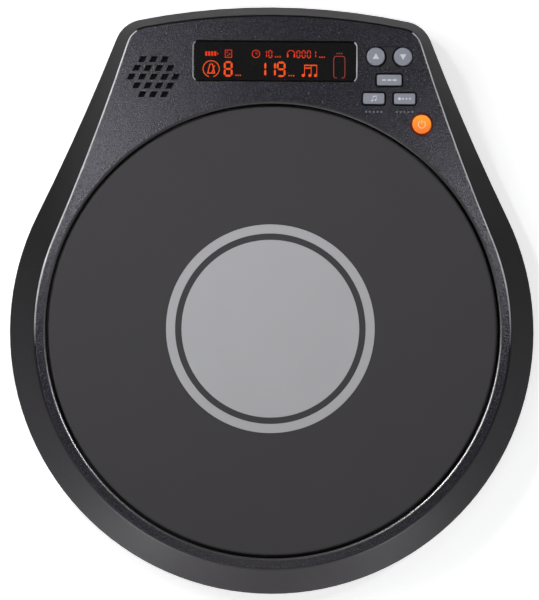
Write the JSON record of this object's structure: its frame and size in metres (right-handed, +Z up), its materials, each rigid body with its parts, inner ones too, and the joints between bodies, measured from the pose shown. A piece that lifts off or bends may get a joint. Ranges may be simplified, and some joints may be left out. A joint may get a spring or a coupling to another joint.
{
  "type": "electronic drum practice pad",
  "caption": "Low electronic drum practice pad: a round rubber playing head with a grey target, in a moulded case with a lit display, speaker grille and push keys.",
  "frame": {"origin": "middle of the part's box, on the surface its feet stand on", "axes": "+Z up out of the playing head, +Y towards the control head, +X to the player's right"},
  "size_m": [0.3012, 0.3376, 0.0442],
  "materials": {
    "case_plastic": "moulded ABS with a fine grain",
    "base_plastic": "moulded ABS, smooth satin",
    "pad_rubber": "smooth matte rubber",
    "target_rubber": "matte grey rubber inlay",
    "foot_rubber": "matte rubber",
    "brass": "turned",
    "steel": "zinc plated",
    "black_steel": "black oxide",
    "foam": "closed-cell foam",
    "ceramic": "fired, silvered",
    "lead_sheath": "PVC sheath",
    "lens": "dark tinted acrylic, polished",
    "lit_segments": "lit orange-red",
    "module_plastic": "black moulded",
    "board": "solder-masked glass epoxy",
    "chip_plastic": "moulded epoxy",
    "can_sleeve": "shrink sleeve",
    "plunger_plastic": "moulded nylon",
    "key_plastic": "satin ABS",
    "power_plastic": "lit translucent plastic",
    "cloth": "woven speaker cloth",
    "paper_cone": "pressed paper",
    "ferrite": "sintered ferrite",
    "socket_nylon": "moulded nylon",
    "ribbon_pvc": "flat grey cable",
    "cell_sleeve": "shrink sleeve"
  },
  "bodies": {
    "housing": {"upper_shell": "case_plastic", "lower_shell": "base_plastic", "rubber_feet": "foot_rubber", "stand_insert": "brass", "case_screws": "black_steel", "rubber_head": "pad_rubber", "target_disc": "target_rubber", "target_ring": "target_rubber", "head_plate": "steel", "damping_foam": "foam", "head_screws": "steel", "piezo_disc": "brass", "piezo_ceramic": "ceramic", "piezo_lead": "lead_sheath", "display_lens": "lens", "display_segments": "lit_segments", "display_module": "module_plastic", "control_board": "board", "control_board_screws": "steel", "tact_switches": "module_plastic", "power_lamp": "lit_segments", "grille_cloth": "cloth", "speaker_gasket": "foam", "speaker_frame": "steel", "speaker_cone": "paper_cone", "speaker_magnet": "ferrite", "speaker_screws": "steel", "speaker_lead": "lead_sheath", "main_board": "board", "board_chips": "chip_plastic", "capacitors": "can_sleeve", "main_board_screws": "steel", "ribbon_sockets": "socket_nylon", "ribbon": "ribbon_pvc", "jack_panel": "base_plastic", "phones_jack": "module_plastic", "aux_jack": "module_plastic", "charging_port": "steel", "volume_pot": "module_plastic", "battery_cells": "cell_sleeve", "battery_clamp": "module_plastic", "clamp_screws": "steel", "battery_lead": "lead_sheath"},
    "key_up": {"up_key": "key_plastic", "up_plunger": "plunger_plastic"},
    "key_down": {"down_key": "key_plastic", "down_plunger": "plunger_plastic"},
    "key_mode": {"mode_key": "key_plastic", "mode_plunger": "plunger_plastic"},
    "key_sound": {"sound_key": "key_plastic", "sound_plunger": "plunger_plastic"},
    "key_beat": {"beat_key": "key_plastic", "beat_plunger": "plunger_plastic"},
    "key_power": {"power_key": "power_plastic", "power_plunger": "plunger_plastic"},
    "wheel": {"volume_wheel": "base_plastic"}
  },
  "joints": [
    {"name": "up_press", "type": "slide", "parent": "housing", "child": "key_up", "axis": [0, 0, -1], "range_m": [0, 0.0008], "stiffness_N_per_m": 800, "springref_m": -0.0005},
    {"name": "down_press", "type": "slide", "parent": "housing", "child": "key_down", "axis": [0, 0, -1], "range_m": [0, 0.0008], "stiffness_N_per_m": 800, "springref_m": -0.0005},
    {"name": "mode_press", "type": "slide", "parent": "housing", "child": "key_mode", "axis": [0, 0, -1], "range_m": [0, 0.0008], "stiffness_N_per_m": 800, "springref_m": -0.0005},
    {"name": "sound_press", "type": "slide", "parent": "housing", "child": "key_sound", "axis": [0, 0, -1], "range_m": [0, 0.0008], "stiffness_N_per_m": 800, "springref_m": -0.0005},
    {"name": "beat_press", "type": "slide", "parent": "housing", "child": "key_beat", "axis": [0, 0, -1], "range_m": [0, 0.0008], "stiffness_N_per_m": 800, "springref_m": -0.0005},
    {"name": "power_press", "type": "slide", "parent": "housing", "child": "key_power", "axis": [0, 0, -1], "range_m": [0, 0.0008], "stiffness_N_per_m": 800, "springref_m": -0.0005},
    {"name": "volume_turn", "type": "hinge", "parent": "housing", "child": "wheel", "pos_m": [0.038, 0.1553, 0.0115], "axis": [0, 0, 1], "range_deg": [-140, 140]}
  ]
}
